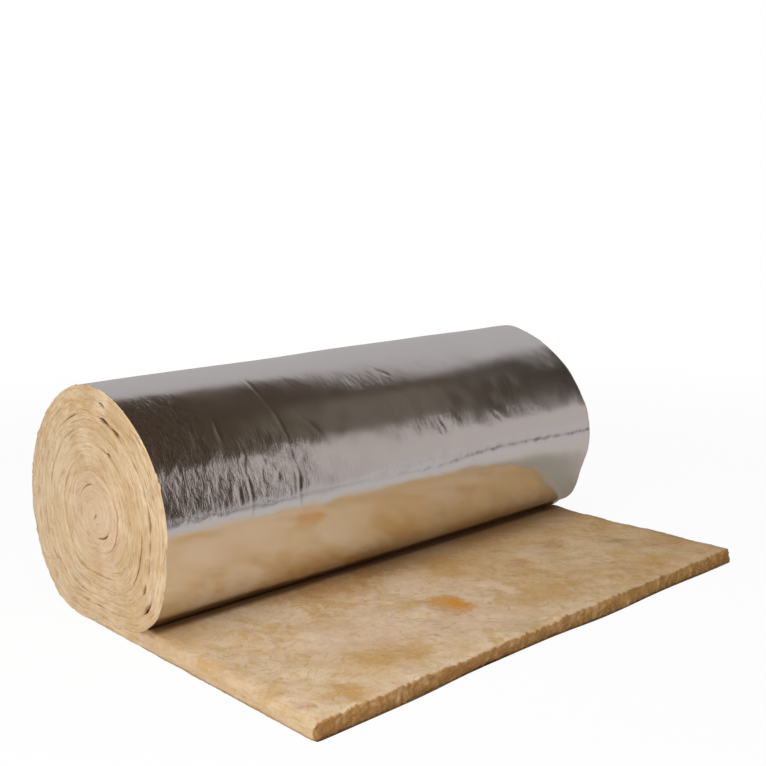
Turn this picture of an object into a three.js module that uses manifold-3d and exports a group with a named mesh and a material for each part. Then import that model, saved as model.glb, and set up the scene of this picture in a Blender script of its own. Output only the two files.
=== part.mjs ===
// Insulation roll: a strip of glass wool with an aluminium foil facing bonded to one side, wound up
// foil outwards and lying on its side, with the loose end run out flat in front of it.
//
// Millimetres, +Z up. The winding axis runs along X. The origin is on the floor, straight below the
// winding axis and half way along it. The loose end runs out towards -Y.
//
// The strip leaves the floor side, climbs up the back (+Y), goes over the top, comes down the front
// and lies on itself, turn after turn, in to the eye of the winding. A place along the strip is
// given by its winding angle: 0 straight below the axis, growing up the back.

import * as THREE from "three";
import { mergeVertices } from "three/addons/utils/BufferGeometryUtils.js";
import Module from "manifold-3d";

// The strip
const STRIP_WIDTH = 1200;
const WOOL_THICKNESS = 30;
const FOIL_THICKNESS = 0.2;
const BOND_GAP = 0.3; // left for the film of glue between the foil and the wool
const TURN_GAP = 0.4; // between the wool of one turn and the foil of the turn inside it
const WINDING_SQUEEZE = 0.9; // share of its thickness that the wool keeps when it is wound
const WOOL_EDGE_BEVEL = 2; // width of the slopes by which the cut edges of the wool fall back
const WOOL_EDGE_DEPTH = 4; // how far they fall back, where they meet the foil

// The winding, which has settled under its own weight
const WINDING_RADIUS = 270; // of the outermost turn, where nothing presses on it
const SETTLING = 46; // how far the axis has sunk as the underside went flat
const SIDE_BULGE = 11; // how far that has pushed out the sides
const EDGE_SOFTNESS = 40; // of the bend where the flat underside turns up into the sides

// The eye of the winding, where the strip starts
const EYE_RADIUS = 7;
const PINCHED_THICKNESS = 11; // of the wool at the tightly rolled start of the strip
const NOSE_ANGLE = 0.42; // radians of winding over which that start narrows to its blunt nose

// The loose end
const LOOSE_END_REACH = 660; // from below the winding axis to the front edge
const PART_GAP = 0.3; // between the wound part and the loose end, which are solids of their own

const FACETS_PER_TURN = 40;

const FULL_TURN = 2 * Math.PI;
const FACET_ANGLE = FULL_TURN / FACETS_PER_TURN;
const AXIS_HEIGHT = WINDING_RADIUS - SETTLING;
const SAG = SETTLING / WINDING_RADIUS;
const FLAT_ANGLE = Math.acos(AXIS_HEIGHT / WINDING_RADIUS); // to each side of the bottom
const STEPPING_ANGLE = FULL_TURN - 2 * FLAT_ANGLE;
const WOOL_UNDERSIDE = FOIL_THICKNESS + BOND_GAP;
const WOOL_TOP = WOOL_UNDERSIDE + WOOL_THICKNESS;
const TURN_PITCH = WOOL_UNDERSIDE + WINDING_SQUEEZE * WOOL_THICKNESS + TURN_GAP;
const START_RADIUS = EYE_RADIUS + PINCHED_THICKNESS + WOOL_UNDERSIDE;

// The smaller of two values, with the corner between them rounded off over the given width.
function softMin(a, b, width) {
  const share = THREE.MathUtils.clamp(0.5 + (b - a) / (2 * width), 0, 1);
  return THREE.MathUtils.lerp(b, a, share) - width * share * (1 - share);
}

// Turns that the spiral has stepped inwards by, at a winding angle. The turns lie parallel where
// they are pressed flat, so each turn takes its step over the rest of its way round.
function turnsSteppedIn(angle) {
  const wholeTurns = Math.floor(angle / FULL_TURN);
  const within = angle - wholeTurns * FULL_TURN;
  return wholeTurns + THREE.MathUtils.clamp((within - FLAT_ANGLE) / STEPPING_ANGLE, 0, 1);
}

// Winding angle at which the spiral has stepped inwards by a number of turns.
function angleWhereSteppedIn(turns) {
  const wholeTurns = Math.floor(turns);
  return wholeTurns * FULL_TURN + FLAT_ANGLE + (turns - wholeTurns) * STEPPING_ANGLE;
}

// A point of the section across the axis (x is across, y is up) at a winding angle and a depth
// inside the outer face of the foil there. The outermost turn is pressed quite flat on the floor,
// and the turns grow rounder towards the eye.
function windingPoint(angle, depth) {
  const unpressed = WINDING_RADIUS - TURN_PITCH * turnsSteppedIn(angle);
  const radius = Math.max(unpressed, EYE_RADIUS);
  const down = Math.cos(angle);
  let stretch = 1 + (SIDE_BULGE / WINDING_RADIUS) * Math.sin(angle) ** 2;
  if (down > SAG) {
    const flat = (1 - (SAG * radius) / WINDING_RADIUS) / down;
    stretch = softMin(stretch, flat, EDGE_SOFTNESS / WINDING_RADIUS);
  }
  const distance = radius * stretch - depth;
  return new THREE.Vector2(distance * Math.sin(angle), AXIS_HEIGHT - distance * down);
}

const START_ANGLE = angleWhereSteppedIn((WINDING_RADIUS - START_RADIUS) / TURN_PITCH);

// Points of one face of the wound strip, from where it lies on the floor in to the eye.
function woundFace(pointAt) {
  const points = [];
  for (let angle = FACET_ANGLE; angle < START_ANGLE - FACET_ANGLE; angle += FACET_ANGLE) {
    points.push(pointAt(angle));
  }
  points.push(pointAt(START_ANGLE));
  return points;
}

// Top of the wool in the loose end, from below the axis to the front edge: the wool follows the turn
// that lies on it, and swells back to its full thickness where that turn lifts off.
function looseEndTop() {
  const points = [];
  let angle = FULL_TURN;
  let top = 0;
  while (top < WOOL_TOP) {
    angle -= FACET_ANGLE;
    const point = windingPoint(angle, -TURN_GAP);
    top = Math.min(point.y, WOOL_TOP);
    points.push(new THREE.Vector2(point.x, top));
  }
  points.push(new THREE.Vector2(-LOOSE_END_REACH, WOOL_TOP));
  return points;
}

// Where the turn that lies on the loose end lifts off it, as a place along Y.
const LIFT_OFF = looseEndTop().at(-2).x;

const wasm = await Module();
wasm.setup();

// A closed geometry as a solid that can be cut.
function solidFrom(geometry) {
  const bare = geometry.clone();
  bare.deleteAttribute("normal");
  bare.deleteAttribute("uv");
  const merged = mergeVertices(bare);
  return new wasm.Manifold(
    new wasm.Mesh({
      numProp: 3,
      vertProperties: merged.getAttribute("position").array,
      triVerts: new Uint32Array(merged.getIndex().array),
    }),
  );
}

// The geometry of a solid that has been cut.
function geometryFrom(solid) {
  const mesh = solid.getMesh();
  const geometry = new THREE.BufferGeometry();
  geometry.setAttribute("position", new THREE.BufferAttribute(mesh.vertProperties, 3));
  geometry.setIndex(new THREE.BufferAttribute(mesh.triVerts, 1));
  geometry.computeVertexNormals();
  return geometry;
}

// The whole strip of one material: its section across the winding axis, run along that axis, with
// its two cut edges bevelled by the given width and depth.
function wholeStrip(section, edgeBevel, edgeDepth) {
  const geometry = new THREE.ExtrudeGeometry(new THREE.Shape(section), {
    depth: STRIP_WIDTH - 2 * edgeDepth,
    bevelEnabled: edgeBevel > 0,
    bevelSegments: 1,
    bevelSize: edgeBevel,
    bevelOffset: -edgeBevel,
    bevelThickness: edgeDepth,
  });
  geometry.translate(0, 0, edgeDepth - STRIP_WIDTH / 2);
  const across = new THREE.Vector3(0, 1, 0);
  const up = new THREE.Vector3(0, 0, 1);
  const along = new THREE.Vector3(1, 0, 0);
  geometry.applyMatrix4(new THREE.Matrix4().makeBasis(across, up, along));
  return geometry;
}

// The space in front of a plane across the strip, from the floor to just above the loose end.
function spaceInFrontOf(plane) {
  const size = new THREE.Vector3(2 * STRIP_WIDTH, 2 * LOOSE_END_REACH, 2 * WOOL_TOP + TURN_GAP / 2);
  const space = new THREE.BoxGeometry(size.x, size.y, size.z);
  space.translate(0, plane - size.y / 2, 0);
  return solidFrom(space);
}

// A whole strip in its two parts, parted where the loose end leaves the winding.
function partedStrip(material, name, whole) {
  const solid = solidFrom(whole);
  const wound = new THREE.Mesh(geometryFrom(solid.subtract(spaceInFrontOf(LIFT_OFF))), material);
  wound.name = `wound_${name}`;
  const looseSpace = spaceInFrontOf(LIFT_OFF - PART_GAP);
  const loose = new THREE.Mesh(geometryFrom(solid.intersect(looseSpace)), material);
  loose.name = `loose_end_${name}`;
  return [wound, loose];
}

// The aluminium foil facing: the outside of the winding, and the underside of the loose end.
function foilFacing() {
  const outerFace = woundFace((angle) => windingPoint(angle, 0));
  const bondedFace = woundFace((angle) => windingPoint(angle, FOIL_THICKNESS));
  const frontEdge = [
    new THREE.Vector2(-LOOSE_END_REACH, FOIL_THICKNESS),
    new THREE.Vector2(-LOOSE_END_REACH, 0),
  ];
  const section = [...outerFace, ...bondedFace.reverse(), ...frontEdge];
  const polishedFoil = new THREE.MeshStandardMaterial({
    color: 0xc9c6c8,
    roughness: 0.18,
    metalness: 1,
  });
  return partedStrip(polishedFoil, "foil", wholeStrip(section, 0, 0));
}

// The glass wool blanket: between the foil of its own turn and the foil of the turn inside it.
function glassWoolBlanket() {
  const bondedFace = woundFace((angle) => windingPoint(angle, WOOL_UNDERSIDE));
  const bareFace = woundFace((angle) => windingPoint(angle + FULL_TURN, -TURN_GAP));
  const nose = windingPoint(START_ANGLE + NOSE_ANGLE + FULL_TURN, -PINCHED_THICKNESS / 2);
  const frontEdge = new THREE.Vector2(-LOOSE_END_REACH, WOOL_UNDERSIDE);
  const section = [...bondedFace, nose, ...bareFace.reverse(), ...looseEndTop(), frontEdge];
  const tanWool = new THREE.MeshStandardMaterial({
    color: 0xd8b98f,
    roughness: 0.95,
    metalness: 0,
  });
  return partedStrip(tanWool, "wool", wholeStrip(section, WOOL_EDGE_BEVEL, WOOL_EDGE_DEPTH));
}

const insulationRoll = new THREE.Group();
insulationRoll.add(...glassWoolBlanket(), ...foilFacing());

export default insulationRoll;
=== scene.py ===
import math

import bmesh
import bpy
import numpy as np
from mathutils import Matrix, Vector


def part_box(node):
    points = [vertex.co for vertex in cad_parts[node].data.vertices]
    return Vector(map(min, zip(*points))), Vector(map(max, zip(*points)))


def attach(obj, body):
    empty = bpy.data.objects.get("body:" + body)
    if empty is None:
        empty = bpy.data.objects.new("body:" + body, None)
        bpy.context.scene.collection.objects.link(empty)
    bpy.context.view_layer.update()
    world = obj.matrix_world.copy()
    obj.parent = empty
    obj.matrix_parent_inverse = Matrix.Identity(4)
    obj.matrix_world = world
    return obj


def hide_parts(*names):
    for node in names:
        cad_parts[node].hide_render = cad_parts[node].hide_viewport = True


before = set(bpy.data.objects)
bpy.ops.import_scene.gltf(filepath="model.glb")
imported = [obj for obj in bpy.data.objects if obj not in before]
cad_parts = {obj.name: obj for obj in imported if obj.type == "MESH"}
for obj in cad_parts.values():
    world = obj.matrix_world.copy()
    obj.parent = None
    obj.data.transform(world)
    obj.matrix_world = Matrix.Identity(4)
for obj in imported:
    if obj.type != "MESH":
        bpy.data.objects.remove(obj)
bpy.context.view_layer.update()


# ---- The glass wool mat --------------------------------------------------------------------
# One strip of tan glass fibre, felted in thin layers, wound up with its foil side outwards and
# squeezed a little in the winding. Its long edges are cut across the layers and show as the ends
# of the roll. Its loose end lies flat in front, where the wool swells back to its full thickness.

STRIP_WIDTH = 1.200
WOOL_THICKNESS = 0.030
FOIL_THICKNESS = 0.0002
BOND_GAP = 0.0003
TURN_GAP = 0.0004
WINDING_SQUEEZE = 0.9
WINDING_RADIUS = 0.270
SETTLING = 0.046
SIDE_BULGE = 0.011
EDGE_SOFTNESS = 0.040
EYE_RADIUS = 0.007
PINCHED_THICKNESS = 0.011
LOOSE_END_REACH = -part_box("loose_end_foil")[0].y
OVERHANG_ANGLE = 1.2  # radians of winding, before its bottom, that hang over the loose end
OVERHANG_PLACES = 400
STRIP_PLACES = 9000
HAIR = 1e-6  # far less than any size here, to tell which face of the strip a vertex is on

FULL_TURN = 2 * math.pi
HALF_WIDTH = STRIP_WIDTH / 2
AXIS_HEIGHT = WINDING_RADIUS - SETTLING
AXIS = np.array([0, AXIS_HEIGHT])
SAG = SETTLING / WINDING_RADIUS
FLAT_ANGLE = math.acos(AXIS_HEIGHT / WINDING_RADIUS)
STEPPING_ANGLE = FULL_TURN - 2 * FLAT_ANGLE
WOOL_UNDERSIDE = FOIL_THICKNESS + BOND_GAP
WOOL_TOP = WOOL_UNDERSIDE + WOOL_THICKNESS
TURN_PITCH = WOOL_UNDERSIDE + WINDING_SQUEEZE * WOOL_THICKNESS + TURN_GAP
START_RADIUS = EYE_RADIUS + PINCHED_THICKNESS + WOOL_UNDERSIDE


def soft_min(a, b, width):
    """The smaller of two values, with the corner between them rounded off."""
    share = np.clip(0.5 + (b - a) / (2 * width), 0, 1)
    return b + (a - b) * share - width * share * (1 - share)


def winding_point(angle, depth):
    """Points (y, z) of the section at a winding angle and a depth inside the foil's outer face."""
    whole_turns = np.floor(angle / FULL_TURN)
    within = angle - whole_turns * FULL_TURN
    stepped_in = whole_turns + np.clip((within - FLAT_ANGLE) / STEPPING_ANGLE, 0, 1)
    radius = np.maximum(WINDING_RADIUS - TURN_PITCH * stepped_in, EYE_RADIUS)
    down = np.cos(angle)
    stretch = 1 + SIDE_BULGE / WINDING_RADIUS * np.sin(angle) ** 2
    flat = (1 - SAG * radius / WINDING_RADIUS) / np.maximum(down, SAG)
    pressed = soft_min(stretch, flat, EDGE_SOFTNESS / WINDING_RADIUS)
    distance = radius * np.where(down > SAG, pressed, stretch) - depth
    return np.stack([distance * np.sin(angle), AXIS_HEIGHT - distance * down], axis=-1)


turns_to_start = (WINDING_RADIUS - START_RADIUS) / TURN_PITCH
START_ANGLE = (
    math.floor(turns_to_start) * FULL_TURN + FLAT_ANGLE + turns_to_start % 1 * STEPPING_ANGLE
)
FRONT_ANGLE = -math.atan(LOOSE_END_REACH / AXIS_HEIGHT)


def underside_height(along, depth):
    """Height of the winding's underside, at a depth, over places along the loose end."""
    overhang = winding_point(FULL_TURN - np.linspace(OVERHANG_ANGLE, 0, OVERHANG_PLACES), depth)
    return np.interp(along, overhang[:, 0], overhang[:, 1])


def strip_face(angle, depth, lies_on_turn):
    """Points of one face of the strip: of its foil side at a depth, or of its bare side."""
    loose = angle < 0
    wound = winding_point(np.where(loose, 0, angle) + FULL_TURN * lies_on_turn, depth)
    along = AXIS_HEIGHT * np.tan(np.where(loose, angle, 0))
    height = np.full_like(angle, depth)
    if lies_on_turn:
        height = np.minimum(underside_height(along, depth), WOOL_TOP)
    lying = np.stack([along, height], axis=-1)
    return np.where(loose[:, None], lying, wound)


# The strip from its front edge in to the eye of the winding, close step by close step.
angles = np.linspace(FRONT_ANGLE, START_ANGLE, STRIP_PLACES)
foil_side = strip_face(angles, WOOL_UNDERSIDE, False)
bare_side = strip_face(angles, -TURN_GAP, True)
middle = (foil_side + bare_side) / 2
steps = np.linalg.norm(np.diff(middle, axis=0), axis=1)
runs = np.concatenate([[0], np.cumsum(steps)])
STRIP_LENGTH = runs[-1]
RUN_UNDER_AXIS = np.interp(0, angles, runs)
RUN_AT_NIP = np.interp(-FLAT_ANGLE, angles, runs)  # where the winding lifts off the loose end


def along_strip(run, points):
    """Places on a line of the strip at the given distances along it from the front edge."""
    return np.stack([np.interp(run, runs, points[:, k]) for k in (0, 1)], axis=-1)


WAVE_SPREAD = (0.7, 1.5)  # least and most waves in the length of one given wavelength
USUAL_PEAK = 1.6  # of the sum of many waves, over its own deviation


def swells(places, wavelengths, seed, waves=20):
    """Smooth unevenness of about -1 to 1: waves in random directions over the given places."""
    dice = np.random.default_rng(seed)
    total = np.zeros(len(places))
    for _ in range(waves):
        heading = dice.normal(size=len(wavelengths))
        heading *= dice.uniform(*WAVE_SPREAD) / np.linalg.norm(heading)
        pull = FULL_TURN * heading / np.array(wavelengths)
        total += np.cos(places @ pull + dice.uniform(0, FULL_TURN))
    return total * math.sqrt(2 / waves) / USUAL_PEAK


def smooth_step(low, high, value):
    """0 at the low value, 1 at the high one, and a smooth step between them."""
    share = np.clip((value - low) / (high - low), 0, 1)
    return share * share * (3 - 2 * share)


# Where the winding is out of true: degrees round it, the width of the place in degrees, and how far
# it stands out at the left end and at the right end.
OUT_OF_TRUE = (
    (63, 18, 0.006, 0.001),
    (135, 32, -0.007, 0.002),
    (182, 8, 0.000, 0.005),
    (214, 20, -0.003, -0.005),
    (262, 13, -0.0035, 0.009),
    (262, 7, 0.003, -0.003),
    (278, 9, -0.0055, 0.003),
    (286, 9, -0.0025, -0.004),
    (306, 9, 0.006, 0.008),
    (319, 6, 0.000, -0.009),
)
TRUE_FOOT = 0.025  # height above the loose end over which this sets in


def out_of_true(section, across):
    """Section points, moved to where the uneven winding holds them."""
    from_axis = section - AXIS
    distance = np.linalg.norm(from_axis, axis=1)
    round_axis = np.degrees(np.arctan2(from_axis[:, 0], -from_axis[:, 1])) % 360
    to_right = 0.5 + across / STRIP_WIDTH
    push = np.zeros(len(section))
    for place, width, at_left, at_right in OUT_OF_TRUE:
        away = (round_axis - place) / width
        push += (at_left + (at_right - at_left) * to_right) * np.exp(-(away**2))
    push *= (distance / WINDING_RADIUS) ** 2
    push *= smooth_step(WOOL_TOP, WOOL_TOP + TRUE_FOOT, section[:, 1])
    return section + from_axis * (push / np.maximum(distance, EYE_RADIUS / 2))[:, None]


RIM = 0.012  # width of the outermost column of faces beside each long edge


def strip_slab(stations, layers):
    """The strip as a straight slab in (run, across, layer). It is cut at the given runs along it,
    across it at its middle and beside its edges, and evenly through its layers. The layers count
    from 0 at the foil side to 1 at the bare side."""
    columns = (-HALF_WIDTH, RIM - HALF_WIDTH, 0, HALF_WIDTH - RIM, HALF_WIDTH)
    steps_along, steps_across = len(stations) - 1, len(columns) - 1
    slab = bmesh.new()
    bmesh.ops.create_cube(slab, size=1.0)
    for axis, steps in enumerate((steps_along, steps_across, layers)):
        whole_edges = [e for e in slab.edges if abs(e.verts[0].co[axis] - e.verts[1].co[axis]) > 0.9]
        if steps > 1:
            bmesh.ops.subdivide_edges(slab, edges=whole_edges, cuts=steps - 1, use_grid_fill=True)
    for vert in slab.verts:
        vert.co.x = stations[round((vert.co.x + 0.5) * steps_along)]
        vert.co.y = columns[round((vert.co.y + 0.5) * steps_across)]
        vert.co.z += 0.5
    return slab


def cut_across(slab, faces_wanted, cell):
    """Cuts the crosswise edges of some of the slab's faces into cells, for relief that shows."""
    wanted = {e for f in slab.faces if faces_wanted(f) for e in f.edges}
    crosswise = [e for e in wanted if abs(e.verts[0].co.y - e.verts[1].co.y) > RIM / 2]
    for length in (RIM, HALF_WIDTH - RIM):
        alike = [e for e in crosswise if e.is_valid and abs(e.calc_length() - length) < RIM / 2]
        cuts = round(length / cell) - 1
        bmesh.ops.subdivide_edges(slab, edges=alike, cuts=cuts, use_grid_fill=True)


def places_of(slab):
    """Where the vertices of a slab are, one row for each."""
    return np.array([v.co[:] for v in slab.verts])


def shaped(name, slab, points, strip_places):
    """A slab's mesh with its vertices moved to their points, as a new smooth object."""
    for vert, point in zip(slab.verts, points):
        vert.co = point
    bmesh.ops.recalc_face_normals(slab, faces=slab.faces)
    mesh = bpy.data.meshes.new(name)
    slab.to_mesh(mesh)
    slab.free()
    mesh.shade_smooth()
    where = mesh.attributes.new("strip_place", "FLOAT_VECTOR", "POINT")
    where.data.foreach_set("vector", strip_places.astype(np.float32).ravel())
    piece = bpy.data.objects.new(name, mesh)
    bpy.context.scene.collection.objects.link(piece)
    return piece


def mark(piece, name, shares):
    """Gives each vertex of a piece a share, which its material reads by name."""
    attribute = piece.data.attributes.new(name, "FLOAT", "POINT")
    attribute.data.foreach_set("value", shares.astype(np.float32))


WOOL_STEPS = 1450
WOOL_LAYERS = 15
WOOL_CELL = 0.005
HIDDEN_REACH = 0.02  # how far the loose end's fine faces run on under the winding

slab = strip_slab(np.linspace(0, STRIP_LENGTH, WOOL_STEPS + 1), WOOL_LAYERS)


def shows_in_front(face):
    """Whether a face is on the top or the front edge of the loose end."""
    spots = [v.co for v in face.verts]
    on_top = all(c.z > 1 - HAIR and c.x < RUN_AT_NIP + HIDDEN_REACH for c in spots)
    return on_top or all(c.x < HAIR for c in spots)


cut_across(slab, shows_in_front, WOOL_CELL)
run, across, layer = places_of(slab).T
inner = along_strip(run, bare_side)
outer = along_strip(run, foil_side)
depth_way = outer - inner
thickness = np.linalg.norm(depth_way, axis=1)
outwards = depth_way / thickness[:, None]
section = outer - depth_way * layer[:, None]

# The cut edges bulge over the foil between the turns, and each inner turn stands a little proud
# or shy of the next. The felted layers of the wool show as fine ridges. The side of the strip is a
# coordinate of each unevenness, so that the two ends differ.
CLOSED_OVER = 0.0008  # how far the wool of a turn reaches over the foil towards the next turn
TIGHT_TURNS = (3.5 * FULL_TURN, 5.5 * FULL_TURN)  # between which the turns close up

is_end = np.abs(across) > HALF_WIDTH - HAIR
end_side = np.sign(across)
to_face = np.abs(2 * layer - 1)
beside_foil = smooth_step(0.80, 1.0, to_face)
winding_angle = np.interp(run, runs, angles)
round_turn = np.degrees(winding_angle % FULL_TURN)
boundary = np.floor(winding_angle / FULL_TURN) + (layer > 0.5)
inner_turns = smooth_step(FULL_TURN, 1.4 * FULL_TURN, winding_angle)
on_end = np.stack([section[:, 0], section[:, 1], end_side], axis=-1)
along_run = np.stack([run, end_side * 3], axis=-1)
felt_place = np.stack([run, layer * thickness, end_side], axis=-1)
tight = smooth_step(*TIGHT_TURNS, winding_angle)
groove = 0.0002 + 0.0008 * smooth_step(0.0, 1.0, swells(on_end, (0.09, 0.09, 1), 11))
groove *= 1 - 0.7 * tight
telescoped = 0.0010 * swells(along_run, (1.3, 2), 12) + 0.0007 * swells(along_run, (0.25, 2), 13)
telescoped *= inner_turns
felted = 0.0006 * swells(felt_place, (0.05, 0.006, 1), 14, 80)
tufted = 0.0005 * swells(felt_place, (0.014, 0.006, 1), 15, 60)
hollowed = 0.0018 * smooth_step(0.2, 1.2, swells(felt_place, (0.030, 0.012, 1), 17, 60))
hollowed *= smooth_step(-0.08, 0.10, section[:, 0]) * (1 - inner_turns * 0.8)

# Where the turns have parted: the boundary between turns, counted from the outside, the degrees
# round the winding of the gap's middle and half its length, its depth and its width. These are on
# the left end, and the right end has others.
PARTED = (
    (1, 191, 3.0, 0.005, 0.004),
    (2, 194, 4.0, 0.006, 0.006),
    (2, 208, 3.5, 0.006, 0.006),
    (4, 206, 3.0, 0.005, 0.005),
    (2, 232, 4.5, 0.006, 0.004),
    (2, 248, 5.0, 0.005, 0.003),
    (2, 262, 7.0, 0.008, 0.009),
    (2, 276, 5.0, 0.005, 0.003),
    (2, 288, 7.0, 0.005, 0.003),
    (2, 303, 4.0, 0.006, 0.004),
    (1, 310, 5.0, 0.006, 0.005),
    (1, 78, 4.0, 0.005, 0.004),
    (2, 4, 6.0, 0.003, 0.002),
    (2, 157, 9.0, 0.003, 0.002),
    (7, 325, 40.0, 0.0034, 0.003),
    (7, 150, 30.0, 0.0026, 0.002),
)
beside_gap = smooth_step(0.1, 1.0, to_face)
sunk = np.zeros(len(run))
spread = np.zeros(len(run))
for at_boundary, middle_angle, half_length, gap_depth, gap_width in PARTED:
    from_middle = (round_turn - middle_angle + 180) % 360 - 180
    shore = np.exp(-np.abs(from_middle / half_length) ** 3)
    shore *= (boundary == at_boundary) * (end_side < 0)
    sunk = np.maximum(sunk, gap_depth * shore)
    spread = np.maximum(spread, gap_width / 2 * shore)
RIGHT_GAP_DEPTH = 0.007
RIGHT_GAP_WIDTH = 0.0044
gaping = smooth_step(0.9, 1.3, swells(on_end, (0.045, 0.045, 1), 16)) * (end_side > 0)
sunk = np.maximum(sunk, RIGHT_GAP_DEPTH * gaping)
spread = np.maximum(spread, RIGHT_GAP_WIDTH / 2 * gaping)
bulge = 0.0004 * (1 - to_face**2) - groove * smooth_step(0.6, 1, to_face) - sunk * beside_foil
end_push = np.where(is_end, bulge + telescoped + felted + tufted - hollowed, 0)
parting = spread * beside_gap - CLOSED_OVER * (boundary > 0) * beside_foil
wound_share = smooth_step(RUN_AT_NIP - 0.1, RUN_AT_NIP, run)
section -= outwards * (np.where(is_end, parting * np.sign(0.5 - layer), 0) * wound_share)[:, None]

# How much painted shade each place gets in a gap or at the joint between two turns.
painted_gap_shade = np.where(is_end, smooth_step(0.002, 0.006, sunk) * beside_foil, 0) * wound_share
seam = 0.08 + 0.55 * smooth_step(-0.1, 1.0, swells(along_run, (0.16, 1), 28, 40))
seam *= 1 - 0.6 * tight
beside_seam = beside_foil * (boundary > 0)
painted_gap_shade = np.maximum(painted_gap_shade, np.where(is_end, seam * beside_seam * wound_share, 0))

# Round the rim of each end the wool of the outermost turn swells out over the edge of the foil.
rim_place = np.stack([run, end_side], axis=-1)
lip = 0.0006 + 0.0008 * swells(rim_place, (0.016, 1), 18, 60)
lip += 0.0006 * swells(rim_place, (0.06, 1), 19)
lip *= np.where(end_side > 0, 0.3, 1)
lip = np.where(is_end & (boundary == 0), lip * smooth_step(0.25, 0.0, layer), 0)
section += outwards * (lip * smooth_step(0.3, 0.6, winding_angle))[:, None]

# At the start of the strip the wool swells into the eye of the winding.
EYE_CLOSED_BY = 0.65
EYE_ANGLES = (START_ANGLE - 7.0, START_ANGLE - 5.5)  # over which the swelling sets in
swollen = EYE_CLOSED_BY * layer**2 * smooth_step(*EYE_ANGLES, winding_angle)
section -= (section - AXIS) * swollen[:, None]

# Between its edges the wool gives room for the dents in the foil outside it.
DENT_ROOM = 0.003
under_foil = (layer < HAIR) & ~is_end
section -= outwards * np.where(under_foil, DENT_ROOM * wound_share, 0)[:, None]

# The bare face of the loose end is uneven, and droops towards its edges, most on the left.
SIDE_DROOP = 0.006
SIDE_DROOP_REACH = 0.026
FRONT_DROOP = 0.004
FRONT_DROOP_REACH = 0.024
SIDE_ROUNDING = 0.003
SIDE_ROUNDING_REACH = 0.015

from_side = HALF_WIDTH - np.abs(across)
flat_place = np.stack([run, across], axis=-1)
hills = 0.0012 * swells(flat_place, (0.20, 0.20), 21)
hills += 0.0006 * swells(flat_place, (0.06, 0.06), 22, 30)
hills += 0.0004 * swells(flat_place, (0.018, 0.014), 23, 40)
droop = SIDE_DROOP * np.clip(1 - from_side / SIDE_DROOP_REACH, 0, 1) ** 2
droop += FRONT_DROOP * np.clip(1 - run / FRONT_DROOP_REACH, 0, 1) ** 2
loose_share = 1 - smooth_step(RUN_AT_NIP - 0.08, RUN_AT_NIP - 0.01, run)
unevenness = (hills - droop * np.where(across > 0, 0.4, 1)) * loose_share
rounding = SIDE_ROUNDING * layer**3 * np.clip(1 - from_side / SIDE_ROUNDING_REACH, 0, 1) ** 2
end_push += (0.0005 * is_end - rounding) * loose_share

# In front of the roll, which squeezes it, the wool swells up against the foil, most at the left end.
SWELL_PLACE = -0.165  # along the loose end, from where the swelling falls away
SWELL_REACH = 0.06
squeezed_up = 0.0015 + 0.0095 * (1 - smooth_step(-0.45, 0.10, across))
beyond_swell = np.clip(SWELL_PLACE - inner[:, 0], 0, None)
swollen_by = squeezed_up * np.exp(-((beyond_swell / SWELL_REACH) ** 2)) * (winding_angle < 0)
room = np.maximum(underside_height(inner[:, 0], -TURN_GAP), inner[:, 1])
raised = np.minimum(inner[:, 1] + unevenness + swollen_by, room)
section[:, 1] += layer**3 * (raised - inner[:, 1])

# The front edge was cut through the felt with a blade, which tore it into tufts. The blade leaned,
# so that the foil ends further back than the top of the wool, most near the middle.
FRONT_SETBACK = 0.003
FRONT_REACH = 0.030


def near_front(run):
    """1 at the front edge, and falling away behind it."""
    return np.clip(1 - run / FRONT_REACH, 0, 1) ** 2


# Where the blade leaned most: the place across, its half width and how sharply that ends, and how
# far it drew in the foil.
LEANED = (
    (-0.13, 0.20, 4, 0.0095),
    (0.34, 0.13, 2, 0.0045),
)


def cut_back(run, across):
    """How far the leaning cut has drawn in the foil side of the front edge."""
    drawn_in = 0
    for place, half_width, sharpness, reach in LEANED:
        drawn_in = drawn_in + reach * np.exp(-(((across - place) / half_width) ** sharpness))
    return near_front(run) * drawn_in


tuft_place = np.stack([across, layer], axis=-1)
torn = 0.0012 * swells(tuft_place, (0.06, 1.0), 24, 30)
torn += 0.0014 * swells(tuft_place, (0.012, 0.5), 25, 60)
ragged = 0.0010 * swells(tuft_place, (0.016, 1), 26, 60)
ragged += 0.0010 * swells(tuft_place, (0.05, 1), 27)
section[:, 0] += near_front(run) * (FRONT_SETBACK + torn + 0.003 * layer**2)
section[:, 0] += cut_back(run, across) * (1 - layer)
section[:, 1] += near_front(run) * ragged * layer**3

CORNER_ROUNDING = 0.014
CORNER_WEAR = 0.0020


def corner_wear(run, across):
    """How far the corners at the front have drawn in through wear, along the strip and across it."""
    near_side = np.clip(1 - (HALF_WIDTH - np.abs(across)) / CORNER_ROUNDING, 0, 1)
    into_corner = np.clip(1 - run / CORNER_ROUNDING, 0, 1) * near_side
    return CORNER_WEAR * into_corner**1.5


section[:, 0] += corner_wear(run, across)
end_push -= corner_wear(run, across)
section = out_of_true(section, across)

points = np.stack([across + end_side * end_push, section[:, 0], section[:, 1]], axis=-1)
places = np.stack([run, across, layer * thickness], axis=-1)
wool_mat = shaped("glass_wool_mat", slab, points, places)
mark(wool_mat, "painted_gap_shade", painted_gap_shade)

# The turns meet in sharp edges, so that the smooth shading of one does not run on over the next.
at_seam = is_end & (to_face > 1 - HAIR) & (boundary > 0) & (run > RUN_UNDER_AXIS)
edge_ends = np.empty(2 * len(wool_mat.data.edges), dtype=np.int32)
wool_mat.data.edges.foreach_get("vertices", edge_ends)
sharp_edge = wool_mat.data.attributes.new("sharp_edge", "BOOLEAN", "EDGE")
sharp_edge.data.foreach_set("value", at_seam[edge_ends.reshape(-1, 2)].all(axis=1))


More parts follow.
